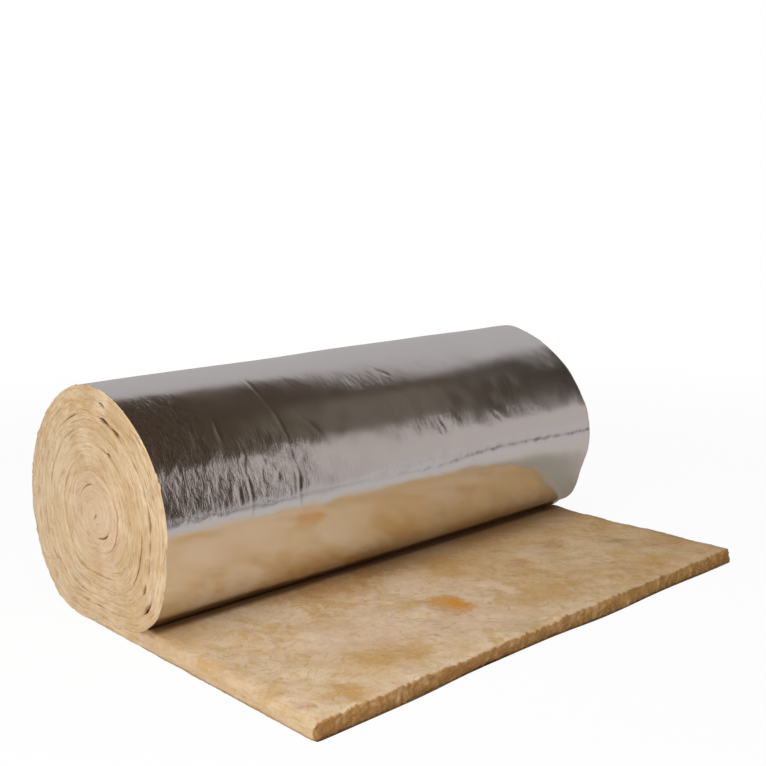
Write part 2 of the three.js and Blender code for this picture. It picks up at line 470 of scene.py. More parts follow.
def feed(node, inputs):
    """Sets the inputs of a shader node, to fixed values or as links from sockets."""
    for key, value in inputs.items():
        if isinstance(value, Socket):
            value.tree.links.new(value.output, node.inputs[key])
        else:
            node.inputs[key].default_value = value


class Socket:
    """An output of a shader node, on which sums are written as on a number."""

    def __init__(self, tree, output=None):
        self.tree = tree
        self.output = output

    def node(self, kind, settings, inputs, output=0):
        """Adds a node to the same tree, with its settings first, and gives one of its outputs."""
        made = self.tree.nodes.new(kind)
        for name, value in settings.items():
            setattr(made, name, value)
        feed(made, inputs)
        return Socket(self.tree, made.outputs[output])

    def maths(self, operation, first, second):
        return self.node("ShaderNodeMath", {"operation": operation}, {0: first, 1: second})

    def __add__(self, other):
        return self.maths("ADD", self, other)

    def __radd__(self, other):
        return self.maths("ADD", other, self)

    def __sub__(self, other):
        return self.maths("SUBTRACT", self, other)

    def __rsub__(self, other):
        return self.maths("SUBTRACT", other, self)

    def __mul__(self, other):
        return self.maths("MULTIPLY", self, other)

    def __rmul__(self, other):
        return self.maths("MULTIPLY", other, self)

    def rise(self, low, high):
        """0 below the low value, 1 above the high one, and a smooth step between them."""
        settings = {"interpolation_type": "SMOOTHSTEP"}
        return self.node("ShaderNodeMapRange", settings, {0: self, 1: low, 2: high})

    def folded(self):
        """The larger of this value and 1 less it, which turns a noise into creases."""
        return self.maths("MAXIMUM", self, 1 - self)

    def part(self, axis):
        """One of the three numbers of these coordinates."""
        return self.node("ShaderNodeSeparateXYZ", {}, {0: self}, axis)

    def length(self):
        """How far these coordinates are from their origin."""
        return self.node("ShaderNodeVectorMath", {"operation": "LENGTH"}, {0: self}, "Value")

    def stretched(self, scale, move=(0, 0, 0)):
        """These coordinates, stretched by a scale for each axis and then moved."""
        return self.node("ShaderNodeMapping", {}, {"Vector": self, "Scale": scale, "Location": move})

    def clouds(self, scale, detail=3.0, roughness=0.55, distortion=0.0, output="Fac"):
        """Soft noise of about 0 to 1 over these coordinates."""
        inputs = {
            "Vector": self,
            "Scale": scale,
            "Detail": detail,
            "Roughness": roughness,
            "Distortion": distortion,
        }
        return self.node("ShaderNodeTexNoise", {}, inputs, output)

    def bumps(self, strength, height):
        """The direction of a surface whose relief is this value, as high as the given height."""
        inputs = {"Strength": strength, "Distance": height, "Height": self}
        return self.node("ShaderNodeBump", {}, inputs)


def blend_colours(share, first, second):
    """Two colours mixed by a share of the second."""
    source = next(v for v in (share, first, second) if isinstance(v, Socket))
    settings = {"data_type": "RGBA", "blend_type": "MIX"}
    return source.node("ShaderNodeMix", settings, {0: share, 6: first, 7: second}, 2)


def coated(colour, *coats):
    """A colour with others laid over it in turn, each by its own share."""
    for share, tint in coats:
        colour = blend_colours(share, colour, tint)
    return colour


def linear(red, green, blue):
    """A colour given as on a colour card, 0 to 255, as the shader's linear values."""
    shares = (red / 255, green / 255, blue / 255)
    return (*[s / 12.92 if s <= 0.04045 else ((s + 0.055) / 1.055) ** 2.4 for s in shares], 1)


def new_material(name):
    """An empty material with its Principled shader, and a source for its nodes."""
    material = bpy.data.materials.new(name)
    material.use_nodes = True
    shader = material.node_tree.nodes["Principled BSDF"]
    return material, shader, Socket(material.node_tree)


def marked(start, name, output="Fac"):
    """What a piece's own attribute says at each place."""
    return start.node("ShaderNodeAttribute", {"attribute_name": name}, {}, output)


def in_place(start):
    """Coordinates of each place on the piece."""
    return start.node("ShaderNodeTexCoord", {}, {}, "Object")


PALE = linear(223, 199, 166)
TAN = linear(206, 176, 136)
ROSY = linear(217, 187, 160)
GOLDEN = linear(196, 150, 88)
OCHRE = linear(196, 156, 98)
ORANGE = linear(206, 140, 50)
RUSSET = linear(180, 130, 86)
OLIVE = linear(166, 142, 102)
AMBER = linear(188, 138, 76)
HONEY = linear(168, 124, 62)
BROWN = linear(132, 92, 48)
UMBER = linear(96, 56, 22)
SHADED = linear(104, 66, 20)
PEAT = linear(88, 66, 34)

# Stains on the bare face of the loose end: (run, across, half length, half width, colour, strength)
STAINS = (
    (0.465, -0.050, 0.060, 0.100, HONEY, 0.80),
    (0.430, -0.190, 0.070, 0.120, AMBER, 0.70),
    (0.400, 0.120, 0.120, 0.220, OCHRE, 0.45),
    (0.300, 0.120, 0.090, 0.170, OCHRE, 0.35),
    (0.120, -0.350, 0.075, 0.095, OCHRE, 0.85),
    (0.120, -0.340, 0.055, 0.070, GOLDEN, 0.50),
    (0.055, -0.490, 0.050, 0.060, GOLDEN, 0.90),
    (0.455, -0.270, 0.050, 0.110, AMBER, 0.60),
    (0.470, -0.110, 0.018, 0.026, RUSSET, 0.80),
    (0.470, 0.340, 0.050, 0.200, AMBER, 0.60),
    (0.400, 0.080, 0.055, 0.055, GOLDEN, 0.95),
    (0.340, 0.045, 0.050, 0.050, GOLDEN, 0.70),
    (0.355, 0.215, 0.022, 0.026, OLIVE, 0.90),
    (0.305, 0.350, 0.036, 0.048, RUSSET, 0.65),
    (0.265, 0.180, 0.022, 0.030, RUSSET, 0.50),
    (0.215, 0.465, 0.028, 0.030, OLIVE, 0.95),
    (0.120, 0.080, 0.060, 0.110, OCHRE, 0.75),
    (0.045, -0.080, 0.035, 0.060, OLIVE, 0.35),
    (0.080, 0.400, 0.050, 0.065, GOLDEN, 0.60),
    (0.140, 0.550, 0.070, 0.055, RUSSET, 0.45),
    (0.230, -0.330, 0.110, 0.150, ROSY, 0.60),
    (0.130, -0.130, 0.080, 0.130, ROSY, 0.60),
    (0.300, 0.270, 0.050, 0.060, ROSY, 0.60),
    (0.210, 0.050, 0.050, 0.028, PALE, 0.70),
    (0.440, -0.560, 0.080, 0.060, GOLDEN, 0.55),
    (0.310, -0.594, 0.050, 0.028, ORANGE, 0.40),
    (0.212, -0.100, 0.056, 0.040, RUSSET, 0.75),
    (0.216, -0.088, 0.052, 0.034, ORANGE, 1.00),
    (0.210, -0.092, 0.030, 0.018, ORANGE, 0.80),
    (0.240, -0.090, 0.016, 0.012, OCHRE, 0.70),
)

# Places in this material are in metres: along the strip, across it and into it, or to the back of
# the roll and up.
material, shader, start = new_material("tan_glass_wool")
strip = marked(start, "strip_place", "Vector")
run_along, run_across, depth_in = (strip.part(axis) for axis in "XYZ")
painted_gap_shade = marked(start, "painted_gap_shade")
whole = in_place(start)
to_back, height = (whole.part(axis) for axis in "YZ")
loose = 1 - run_along.rise(RUN_AT_NIP - 0.01, RUN_AT_NIP + 0.02)
on_top = depth_in.rise(0.004, 0.016) * loose
on_face = depth_in.rise(0.022, 0.029) * loose


def displaced(coordinates, scale, reach):
    """Coordinates shifted by a noise of the given scale, by half the given reach on average."""
    noise = coordinates.clouds(scale, 4.0, 0.6, output="Color")
    terms = {0: noise, 1: reach, 2: coordinates}
    return coordinates.node("ShaderNodeVectorMath", {"operation": "MULTIPLY_ADD"}, terms)


wavy = displaced(strip, 30.0, (0.02, 0.0, 0.007))
layers = wavy.stretched((11, 9, 230)).clouds(1.0, 3, 0.6)
seams = wavy.stretched((30, 9, 380), (5, 2, 9)).clouds(1.0, 4, 0.7)
clumps = wavy.stretched((50, 9, 110), (2, 5, 3)).clouds(1.0, 4, 0.65)
fibres = strip.stretched((60, 160, 900)).clouds(1.0, 4, 0.65)
mottled = whole.stretched((4, 11, 11)).clouds(1.0, 4, 0.6, 0.4)
cloudy = strip.stretched((7, 7, 7)).clouds(1.0, 5, 0.62, 0.8)
patchy = strip.stretched((16, 18, 18), (3, 1, 7)).clouds(1.0, 5, 0.65, 1.0)
yellowed = strip.stretched((8, 9, 9), (8, 5, 2)).clouds(1.0, 5, 0.65, 0.8)
speckled = strip.stretched((46, 50, 50), (1, 6, 3)).clouds(1.0, 4, 0.65, 0.8)
blotched = strip.stretched((30, 34, 34), (2, 7, 4)).clouds(1.0, 6, 0.7, 0.6)
wispy = strip.stretched((120, 70, 70), (4, 3, 8)).clouds(1.0, 4, 0.65, 1.5)
web = strip.stretched((60, 60, 60), (6, 2, 5)).clouds(1.0, 2, 0.5, 2.2)
curled = (1 - web.folded()).rise(0.470, 0.498)
net = strip.stretched((105, 115, 105), (3, 9, 1)).clouds(1.0, 2, 0.5, 2.5)
matted = (1 - net.folded()).rise(0.465, 0.498)

# The cut ends: fine streaks along the felt, over slow changes of tone from pale to tan. The tightly
# rolled middle is paler and even, and the outer turns have weathered at the top and the back.
EVEN_BETWEEN = np.interp((5.4 * FULL_TURN, 6.2 * FULL_TURN), angles, runs)

on_outer_turns = (1 - run_along.rise(3.0, 4.2)) * run_along.rise(1.0, 1.3)
weathered = to_back.rise(-0.16, 0.10) * (0.4 + 0.6 * height.rise(0.25, 0.40)) * patchy.rise(0.36, 0.66)
# Painted light: the wound ends are made paler low down towards the back.
painted_light_low_at_back = to_back.rise(-0.02, 0.14) * (1 - height.rise(0.30, 0.38))
cut_ends = coated(
    TAN,
    (mottled.rise(0.36, 0.64), PALE),
    (0.34 * layers.rise(0.46, 0.66), OCHRE),
    (0.36 * seams.rise(0.54, 0.68) * (1 - 0.6 * run_along.rise(4.0, 6.5)), BROWN),
    (0.30 * (1 - seams.rise(0.34, 0.48)), PALE),
    (0.28 * clumps.rise(0.50, 0.68), OCHRE),
    (0.28 * (1 - clumps.rise(0.32, 0.46)), PALE),
    (0.14 * fibres.rise(0.52, 0.74), BROWN),
    (0.45 * run_along.rise(*EVEN_BETWEEN), ROSY),
    (0.60 * on_outer_turns * weathered * clumps.rise(0.30, 0.60), GOLDEN),
    (0.45 * painted_light_low_at_back * (1 - loose), PALE),
)

# The bare face: pale and rosy clouds, yellowed patches, and fine mottling.
bare_face = coated(
    TAN,
    (cloudy.rise(0.37, 0.62), PALE),
    (0.75 * yellowed.rise(0.46, 0.63), OCHRE),
    (0.65 * patchy.rise(0.46, 0.62), PALE),
    (0.60 * blotched.rise(0.48, 0.62), ROSY),
    (0.45 * speckled.rise(0.50, 0.64), OCHRE),
    (0.15 * wispy.rise(0.52, 0.68), BROWN),
    (0.30 * (1 - wispy.rise(0.32, 0.46)), PALE),
    (0.38 * run_across.rise(-0.20, 0.55), OCHRE),
)
colour = blend_colours(on_top, cut_ends, bare_face)

# The stains, which have ragged outlines and go a little way into the wool.
STAIN_DEPTH = 0.02
WARP = 0.10
FINE_WARP = 0.05
WARPED_BY = (WARP + FINE_WARP) / 2  # on average

warped = displaced(strip, 9.0, (WARP, WARP, 0.0))
warped = displaced(warped, 34.0, (FINE_WARP, FINE_WARP, 0.0))
uptake = 0.65 + 0.35 * wispy.rise(0.38, 0.56)
for stain_run, stain_across, half_length, half_width, tint, strength in STAINS:
    middle_of_stain = (stain_run + WARPED_BY, stain_across + WARPED_BY, WOOL_THICKNESS)
    half_size = (half_length, half_width, STAIN_DEPTH)
    from_stain = {"Vector": warped, "Location": middle_of_stain, "Scale": half_size}
    centred = warped.node("ShaderNodeMapping", {"vector_type": "TEXTURE"}, from_stain)
    spread = centred.length() + 1.0 * (blotched - 0.5) + 0.7 * (speckled - 0.5)
    soaked = strength * (1 - spread.rise(0.30, 1.20)) * uptake
    colour = blend_colours(soaked, colour, tint)

# Single strands lie over the bare face, and painted shade darkens it in front of the roll and at the
# nip.
painted_shade_by_nip = run_along.rise(RUN_AT_NIP - 0.170, RUN_AT_NIP - 0.030) * on_face
to_left = 1 - run_across.rise(-0.45, 0.10)
painted_shade_in_nip = (run_along + 0.018 * to_left).rise(RUN_AT_NIP - 0.034, RUN_AT_NIP - 0.012) * on_face
colour = coated(
    colour,
    (0.22 * curled * loose, PALE),
    (0.16 * matted * loose, BROWN),
    ((0.12 + 0.36 * run_across.rise(-0.30, 0.05)) * painted_shade_by_nip, BROWN),
    (0.94 * painted_shade_in_nip, SHADED),
)

# The front edge: tufts of several tones, darker towards the foil and towards the left.
tufty = strip.stretched((0, 70, 30)).clouds(1.0, 4, 0.65)
at_front = 1 - (run_along - 0.024 * (tufty - 0.45)).rise(-0.002, 0.007)
colour = coated(
    colour,
    (0.85 * at_front, blend_colours(run_across.rise(-0.3, 0.5), AMBER, HONEY)),
    (0.40 * at_front * tufty.rise(0.46, 0.62), BROWN),
    (0.40 * at_front * (1 - tufty.rise(0.34, 0.50)), OCHRE),
    (0.30 * (at_front * (1 - depth_in.rise(0.004, 0.020))), PEAT),
    ((0.48 - 0.40 * run_across.rise(-0.40, 0.30)) * at_front, BROWN),
)

# The sides of the loose end, the near one toned towards tan; painted shade along the far side, on the
# wool beside the foil at the bottom, and in the gaps between the turns.
at_near_side = (1 - run_across.rise(-0.599, -0.588)) * loose * (1 - at_front)
far_side_painted_shade = run_across.rise(0.560, 0.592) * loose * (1 - at_front)
colour = coated(
    colour,
    (0.35 * at_near_side, TAN),
    (0.45 * far_side_painted_shade, OLIVE),
    (0.55 * ((1 - depth_in.rise(0.001, 0.006)) * loose), BROWN),
    (0.75 * painted_gap_shade, blend_colours(painted_gap_shade.rise(0.35, 0.85), BROWN, UMBER)),
)
relief = 0.5 * fibres + 0.3 * seams + 0.3 * clumps + 0.25 * wispy + 0.25 * loose * (curled + matted)
wool_finish = {
    "Base Color": colour,
    "Roughness": 0.95,
    "Specular IOR Level": 0.1,
    "Sheen Weight": 0.04,
    "Sheen Roughness": 0.5,
    "Sheen Tint": (1.0, 0.96, 0.91, 1),
    "Normal": relief.bumps(0.5, 0.0015),
}
feed(shader, wool_finish)
wool_mat.data.materials.append(material)

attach(wool_mat, "root")
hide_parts("wound_wool", "loose_end_wool")


# ---- The torn fibres -----------------------------------------------------------------------
# Strands of glass fibre that have come loose where the strip was cut. They stand out in tufts along
# the front edge, and lie on the cut ends, on the sides of the loose end and on its bare face.

STRAND_RINGS = 5
STRANDS_ON_ENDS = ((-1, 1100), (1, 700))  # the end, left or right, and how many
STRANDS_ON_TOP = 900
STRANDS_IN_FRONT = 750
TUFTS = 150
RAY_START = 0.05  # how far outside the wool the rays start that find its surface
RAY_REACH = 0.12
CLEAR_OF_WOOL = 0.0002
CLEAR_OF_FLOOR = 0.001
along_strand = np.linspace(0, 1, STRAND_RINGS)
dice = np.random.default_rng(70)
bpy.context.view_layer.update()


def laid_on_wool(paths, direction):
    """Paths moved on along a direction until they lie on the wool, without those that miss it."""
    landed = []
    for path in paths:
        rays = [wool_mat.ray_cast(Vector(v), Vector(direction), distance=RAY_REACH) for v in path]
        if all(met for met, *_ in rays):
            landed.append([hit for _, hit, *_ in rays])
    return np.array(landed)


def arched(paths, height, outwards):
    """Paths raised off the wool in the middle by up to the given height."""
    bow = np.sin(math.pi * along_strand)
    rise = CLEAR_OF_WOOL + height * dice.uniform(0, 1, (len(paths), 1)) * bow
    return paths + rise[..., None] * np.array(outwards)


strands = []

# On the cut ends and the sides they lie along the layers of the felt.
for end, how_many in STRANDS_ON_ENDS:
    start_run = dice.uniform(0.02, STRIP_LENGTH - 0.3, (how_many, 1))
    start_layer = dice.uniform(0.06, 0.94, (how_many, 1))
    length = dice.uniform(0.008, 0.032, (how_many, 1))
    run = start_run + length * along_strand
    layer = np.clip(start_layer + dice.normal(0, 0.08, (how_many, 1)) * along_strand, 0.02, 0.98)
    run, layer = run.ravel(), layer.ravel()[:, None]
    section = along_strip(run, foil_side) * (1 - layer) + along_strip(run, bare_side) * layer
    section = out_of_true(section, np.full(len(run), end * HALF_WIDTH))
    section = section.reshape(how_many, STRAND_RINGS, 2)
    beside = np.full((how_many, STRAND_RINGS, 1), end * (HALF_WIDTH + RAY_START))
    laid = laid_on_wool(np.concatenate([beside, section], axis=-1), (-end, 0, 0))
    strands.append(arched(laid, 0.0010, (end, 0, 0)))

# On the bare face they lie every way, and curl.
how_many = STRANDS_ON_TOP
start_run = dice.uniform(0.01, RUN_AT_NIP - 0.07, (how_many, 1))
start_across = dice.uniform(-HALF_WIDTH, HALF_WIDTH, (how_many, 1))
length = dice.uniform(0.012, 0.036, (how_many, 1))
heading = dice.uniform(0, FULL_TURN, (how_many, 1))
heading = heading + dice.normal(0, 0.8, (how_many, 1)) * along_strand
spots_x = start_across + length * along_strand * np.cos(heading)
spots_y = start_run - LOOSE_END_REACH + length * along_strand * np.sin(heading)
spots_z = np.full_like(heading, WOOL_TOP + RAY_START / 4)
laid = laid_on_wool(np.stack([spots_x, spots_y, spots_z], axis=-1), (0, 0, -1))
strands.append(arched(laid, 0.0015, (0, 0, 1)))

# At the front edge they stand out in tufts.
how_many = STRANDS_IN_FRONT
tufts = dice.uniform(-HALF_WIDTH + 0.006, HALF_WIDTH - 0.006, TUFTS)
tuft = tufts[dice.integers(0, TUFTS, how_many)]
root_across = np.clip(tuft + dice.normal(0, 0.004, how_many), 0.004 - HALF_WIDTH, HALF_WIDTH - 0.004)
root_height = dice.uniform(0.12, 0.95, how_many) * WOOL_TOP
front = np.full(how_many, -LOOSE_END_REACH - RAY_START)
roots = laid_on_wool(np.stack([root_across, front, root_height], axis=-1)[:, None], (0, 1, 0))
pointing = np.stack([dice.normal(0, 0.6, len(roots)), np.full(len(roots), -1.0)], axis=-1)
pointing = np.concatenate([pointing, dice.normal(0, 0.5, (len(roots), 1))], axis=-1)
pointing *= dice.uniform(0.003, 0.008, (len(roots), 1))
drooping = dice.uniform(-0.003, 0.001, (len(roots), 1)) * along_strand**2
standing = roots + pointing[:, None] * along_strand[:, None]
standing[:, :, 2] = np.maximum(standing[:, :, 2] + drooping, CLEAR_OF_FLOOR)
at_front_edge = np.repeat([False, True], [sum(map(len, strands)), len(standing)])
strands.append(standing)

# Each strand is a thin three-sided tube that narrows to its tip.
ASKEW = (0.36, 0.48, 0.80)  # a direction that no strand takes
template = bmesh.new()
bmesh.ops.create_cone(template, segments=3, radius1=1.0, radius2=0.3, depth=1.0, cap_ends=True)
lengthwise = [e for e in template.edges if abs(e.verts[0].co.z - e.verts[1].co.z) > 0.5]
bmesh.ops.subdivide_edges(template, edges=lengthwise, cuts=STRAND_RINGS - 2, use_grid_fill=True)
template.verts.ensure_lookup_table()
corners = np.array([v.co[:] for v in template.verts])
template_faces = [[v.index for v in f.verts] for f in template.faces]
template.free()
ring = np.round((corners[:, 2] + 0.5) * (STRAND_RINGS - 1)).astype(int)

paths = np.concatenate(strands)
ahead = np.gradient(paths, axis=1)
ahead /= np.linalg.norm(ahead, axis=-1, keepdims=True)
sideways = np.cross(ahead, ASKEW)
sideways /= np.linalg.norm(sideways, axis=-1, keepdims=True)
upwards = np.cross(sideways, ahead)
radius = dice.uniform(0.00018, 0.00038, (len(paths), 1, 1))
tubes = paths[:, ring] + radius * (
    corners[:, :1] * sideways[:, ring] + corners[:, 1:2] * upwards[:, ring]
)
faces = [[len(corners) * k + i for i in face] for k in range(len(paths)) for face in template_faces]
mesh = bpy.data.meshes.new("torn_fibres")
mesh.from_pydata(tubes.reshape(-1, 3).tolist(), [], faces)
recalculated = bmesh.new()
recalculated.from_mesh(mesh)
bmesh.ops.recalc_face_normals(recalculated, faces=recalculated.faces)
recalculated.to_mesh(mesh)
recalculated.free()
mesh.shade_smooth()
torn_fibres = bpy.data.objects.new("torn_fibres", mesh)
bpy.context.scene.collection.objects.link(torn_fibres)
tones = dice.uniform(0, 1, len(paths)) * np.where(at_front_edge, 0.35, 1)
mark(torn_fibres, "tone", np.repeat(tones, len(corners)))

material, shader, start = new_material("loose_glass_fibre")
uneven = in_place(start).clouds(160.0, 2, 0.5)
colour = coated(
    AMBER,
    (marked(start, "tone").rise(0.1, 0.9), PALE),
    (0.3 * uneven.rise(0.45, 0.65), OCHRE),
)
feed(shader, {"Base Color": colour, "Roughness": 0.8, "Specular IOR Level": 0.2})
torn_fibres.data.materials.append(material)

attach(torn_fibres, "root")


# ---- The foil facing -----------------------------------------------------------------------
# One sheet of bright aluminium foil on a thin backing, glued to the outer side of the wool along
# its whole length. It has crinkled and creased in the winding.

FOIL_STEP = 0.006  # between stations along the outermost turn
FOIL_CELL = 0.0034  # across it
FRONT_CELL = 0.008  # across the front edge
FOIL_SETBACK = 0.0015  # of the foil's long edges inside those of the wool
INNER_SETBACK = 0.010  # the same in the inner turns
LAID_DOWN = FULL_TURN - 0.6  # from where the outermost turn lies on the loose end
CREASE_ANGLE = math.radians(264)
CREASE_STEP = 0.0010
CREASE_REACH = 0.008
HIDDEN_DEPTH = 0.0022  # how far the inner face of the outermost turn is sunk, clear of the dents
STEPS_UNDER_ROLL = 60
STEPS_PER_INNER_TURN = 80
PAINTED_REFLECTION_BETWEEN = np.radians((284, 308))

foil_outside = strip_face(angles, 0.0, False)
foil_inside = strip_face(angles, FOIL_THICKNESS, False)
outer_turn_start = RUN_UNDER_AXIS + 0.10
outer_turn_end = np.interp(LAID_DOWN, angles, runs)
inner_steps = round((START_ANGLE / FULL_TURN - 1) * STEPS_PER_INNER_TURN)
inner_angles = np.linspace(LAID_DOWN, START_ANGLE, inner_steps)
crease_run = np.interp(CREASE_ANGLE, angles, runs)
outer_turn = np.arange(outer_turn_start, outer_turn_end - FOIL_STEP / 2, FOIL_STEP)
outer_turn = outer_turn[np.abs(outer_turn - crease_run) > CREASE_REACH]
crease_start = crease_run - CREASE_REACH + CREASE_STEP
beside_crease = np.arange(crease_start, crease_run + CREASE_REACH, CREASE_STEP)
stations = (
    np.linspace(0, outer_turn_start, STEPS_UNDER_ROLL, endpoint=False),
    np.sort(np.concatenate([outer_turn, beside_crease])),
    np.interp(inner_angles, angles, runs),
)
slab = strip_slab(np.concatenate(stations), 1)


def shows_outside(face):
    """Whether a face is on the outside of the outermost turn."""
    spots = [v.co for v in face.verts]
    return all(c.z < HAIR and outer_turn_start - HAIR < c.x < outer_turn_end for c in spots)


def ends_in_front(face):
    """Whether a face is the cut end of the sheet at the front edge."""
    return all(v.co.x < HAIR for v in face.verts)


cut_across(slab, shows_outside, FOIL_CELL)
cut_across(slab, ends_in_front, FRONT_CELL)
run, across, layer = places_of(slab).T
outer = along_strip(run, foil_outside)
inner = along_strip(run, foil_inside)
outwards = (outer - inner) / FOIL_THICKNESS
angle = np.interp(run, runs, angles)
on_outer_turn = smooth_step(0.1, 0.6, angle)
on_outer_turn *= 1 - smooth_step(FULL_TURN - 0.9, LAID_DOWN, angle)

# Wide swells, dents, and short crinkles that run round the roll, most at the front near the left end.
sheet_place = np.stack([run, across], axis=-1)
round_turn = np.degrees(angle)
wide = 0.0007 * swells(sheet_place, (0.30, 0.40), 31)
dents = 0.0002 * swells(sheet_place, (0.06, 0.08), 32, 40)
dents *= 0.3 + 0.7 * smooth_step(215, 240, round_turn)

# Where the foil is crinkled: degrees round the roll, place across, half sizes, and how much.
CRINKLED = (
    (250, -0.53, 20, 0.13, 0.68),
    (249, -0.36, 18, 0.13, 0.45),
    (222, -0.54, 22, 0.09, 0.55),
    (214, -0.02, 7, 0.08, 0.22),
    (246, 0.12, 5, 0.10, 0.30),
    (249, 0.34, 5, 0.12, 0.30),
    (263, 0.05, 4, 0.20, 0.40),
)
crinkled = 0.06 + 0.05 * swells(sheet_place, (0.20, 0.30), 34)
for middle_angle, middle_across, half_angle, half_across, share in CRINKLED:
    round_by = (round_turn - middle_angle) / half_angle
    from_middle = np.hypot(round_by, (across - middle_across) / half_across)
    crinkled = np.maximum(crinkled, share * (1 - smooth_step(0.7, 1.15, from_middle)))
crinkles = 0.00022 * swells(sheet_place, (0.050, 0.011), 33, 80)
crinkles += 0.00030 * swells(sheet_place, (0.060, 0.045), 39, 60)
leaning = np.stack([run + across, run - across], axis=-1)
crinkles += 0.00040 * np.abs(swells(leaning, (0.035, 0.14), 40, 30))
crinkles += 0.00040 * np.abs(swells(leaning, (0.14, 0.035), 42, 30))
crinkled *= 1 - 0.8 * smooth_step(262, 266, round_turn)  # the long crease stops them
crinkles *= crinkled

# Sharp creases: degrees round the roll and place across of one end and of the other, and depth.
CREASES = (
    (240, -0.407, 249, -0.421, 0.0009),
    (250, -0.415, 267, -0.413, 0.0007),
    (254, -0.439, 261, -0.438, 0.0008),
    (250, -0.299, 267, -0.300, 0.0010),
    (239, -0.306, 249, -0.303, 0.0008),
    (244, -0.262, 252, -0.300, 0.0008),
    (249, -0.330, 258, -0.364, 0.0007),
    (228, -0.245, 243, -0.203, 0.0004),
    (222, -0.438, 234, -0.444, 0.0006),
    (243, -0.474, 256, -0.482, 0.0007),
    (207, 0.020, 214, 0.050, 0.0006),
    (243, 0.110, 248, 0.120, 0.0006),
    (245, 0.270, 250, 0.300, 0.0007),
)
CREASE_LINE_WIDTH = 0.0034
CREASE_SHADE_DEPTH = 0.0016  # of a sharp crease whose line gets the full painted shade

wander = 0.0020 * swells(sheet_place, (0.04, 0.04), 43)
sharp = np.zeros(len(run))
for start_angle, start_across, end_angle, end_across, crease_depth in CREASES:
    first = np.array([np.interp(math.radians(start_angle), angles, runs), start_across])
    last = np.array([np.interp(math.radians(end_angle), angles, runs), end_across])
    way = last - first
    share = np.clip((sheet_place - first) @ way / (way @ way), 0, 1)
    off_line = sheet_place - first - share[:, None] * way + wander[:, None]
    shape = np.exp(-((np.linalg.norm(off_line, axis=1) / CREASE_LINE_WIDTH) ** 2))
    sharp = np.maximum(sharp, crease_depth * np.sin(math.pi * (0.1 + 0.8 * share)) * shape)

# A long crease along the front, which fades out towards the left, and a fold that runs round.
CREASE_HALF_STEP = 0.0012
CREASE_SLOPE = 0.0040
CREASE_FADE = 0.035
FOLD_PLACE = -0.30
FOLD_DEPTH = 0.0003
FOLD_WIDTH = 0.004
FLAT_EDGE = 0.03  # width over which all of this dies out towards the foil's long edges

from_crease = run - crease_run - 0.0035 * swells(sheet_place, (9, 0.25), 35, 10)
from_crease -= 0.0012 * swells(sheet_place, (9, 0.04), 41, 20)
creased = smooth_step(-0.15, 0.30, across) * (0.80 + 0.35 * swells(sheet_place, (9, 0.05), 37, 20))
crease = CREASE_HALF_STEP * creased * np.tanh(from_crease / CREASE_SLOPE)
crease *= np.exp(-((from_crease / CREASE_FADE) ** 2))
# Painted shade, with some scuffing, along the long crease, broken into short stitches; the sharp
# creases get it by their depth.
stitched = smooth_step(-0.5, 0.6, swells(sheet_place, (9, 0.018), 45, 40))
crease_shade_and_scuff = 1.1 * creased * np.exp(-((from_crease / CREASE_LINE_WIDTH) ** 2)) * (0.50 + 0.50 * stitched)
crease_shade_and_scuff = np.maximum(crease_shade_and_scuff, sharp / CREASE_SHADE_DEPTH)
from_fold = across - FOLD_PLACE - 0.003 * swells(sheet_place, (0.15, 9), 38, 10)
folded = smooth_step(196, 205, round_turn) * (1 - smooth_step(240, 250, round_turn))
fold = -FOLD_DEPTH * folded * np.exp(-((from_fold / FOLD_WIDTH) ** 2))

# The inner face of the sheet has none of this, and stays clear of the dents in the outer one.
relief = (wide + dents + crinkles - sharp + crease + fold) * on_outer_turn
from_end = HALF_WIDTH - np.abs(across)
relief *= smooth_step(0.0, FLAT_EDGE, from_end)
setback = FOIL_SETBACK + (INNER_SETBACK - FOIL_SETBACK) * smooth_step(LAID_DOWN, FULL_TURN, angle)
across = across - np.sign(across) * np.where(from_end < HAIR, setback, 0)
relief = np.where(layer > 0.5, -HIDDEN_DEPTH * on_outer_turn * smooth_step(0, RIM, from_end), relief)
section = outer + (inner - outer) * layer[:, None] + outwards * relief[:, None]
wear_and_shade = corner_wear(run, across)
section[:, 0] += wear_and_shade + cut_back(run, across)
across = across - np.sign(across) * wear_and_shade
section = out_of_true(section, across)
points = np.stack([across, section[:, 0], section[:, 1]], axis=-1)
places = np.stack([run, across, layer * FOIL_THICKNESS], axis=-1)
foil_facing = shaped("foil_facing", slab, points, places)

mark(foil_facing, "crinkled", crinkled)
mark(foil_facing, "crease_shade_and_scuff", np.clip(crease_shade_and_scuff * on_outer_turn, 0, 1))

POLISHED = (0.895, 0.873, 0.85, 1)
PAINTED_REFLECTION_TINT = (0.78, 0.73, 0.65, 1)
CREASE_SHADE_GREY = (0.26, 0.25, 0.23, 1)

material, shader, start = new_material("crinkled_foil")
strip = marked(start, "strip_place", "Vector")
crinkled = marked(start, "crinkled")
crease_shade_and_scuff = marked(start, "crease_shade_and_scuff")
ridged = strip.stretched((32, 104, 1)).clouds(1.0, 2, 0.5, 1.1).folded()
faceted = strip.stretched((70, 90, 1), (7, 3, 0)).clouds(1.0, 2, 0.5, 0.6).folded()
grain = strip.stretched((500, 500, 1)).clouds(1.0, 2, 0.5)
smudges = strip.stretched((9, 9, 1)).clouds(1.0, 3, 0.5)
# Painted shade: fine dark lines along the ridges of the crinkled parts, and dark grey along the
# creases, which are partly scuffed.
crinkle_shade = crinkled.rise(0.20, 0.70) * (1 - ridged.rise(0.505, 0.560))
wear_and_shade = start.maths("MAXIMUM", 0.8 * crease_shade_and_scuff, 0.35 * crinkle_shade)
